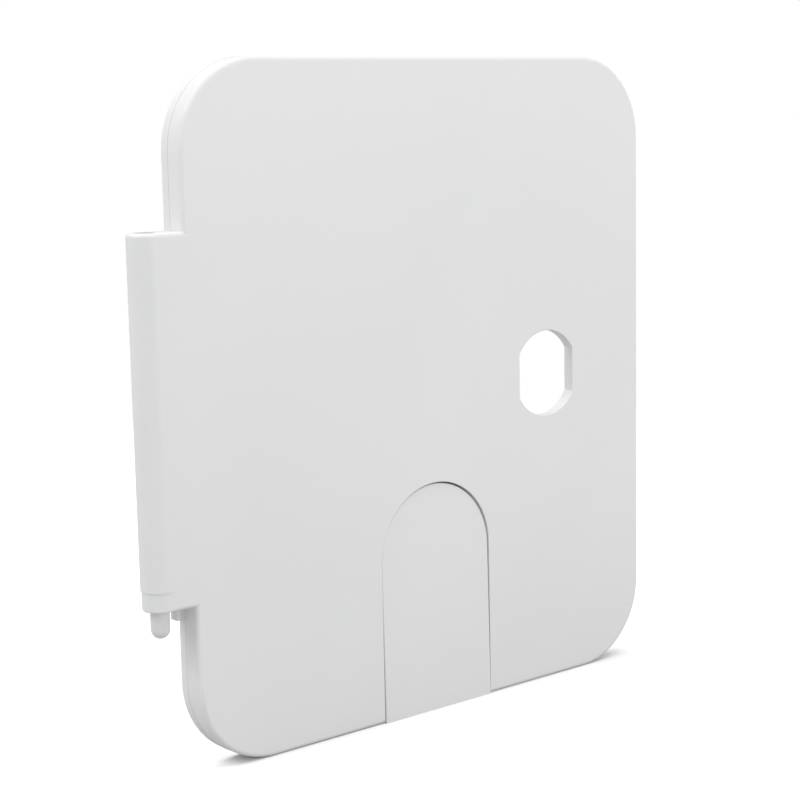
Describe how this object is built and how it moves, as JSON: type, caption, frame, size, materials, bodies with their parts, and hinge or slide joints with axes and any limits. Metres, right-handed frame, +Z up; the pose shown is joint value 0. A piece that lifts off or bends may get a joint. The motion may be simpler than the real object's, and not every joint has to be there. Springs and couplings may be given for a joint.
{
  "type": "access hatch door",
  "caption": "White moulded access hatch door with a side hinge barrel, a lock hole with flats and an arched cable flap that swings inward.",
  "frame": {"origin": "on the hinge axis, at the lower end of the hinge barrel, where the hinge pin comes out", "axes": "+Z up along the hinge axis, +X from the hinge towards the lock hole, the outside face towards -Y"},
  "size_m": [0.1358, 0.0075, 0.14],
  "materials": {
    "white_plastic": "satin moulded white"
  },
  "bodies": {
    "door": {"door_panel": "white_plastic", "hinge_leaf": "white_plastic", "hinge_pin": "white_plastic"},
    "flap": {"cable_flap": "white_plastic"}
  },
  "joints": [
    {"name": "flap_swing", "type": "hinge", "parent": "door", "child": "flap", "pos_m": [0.0685, 0.0009, 0.02], "axis": [1, 0, 0], "range_deg": [0, 90]}
  ]
}
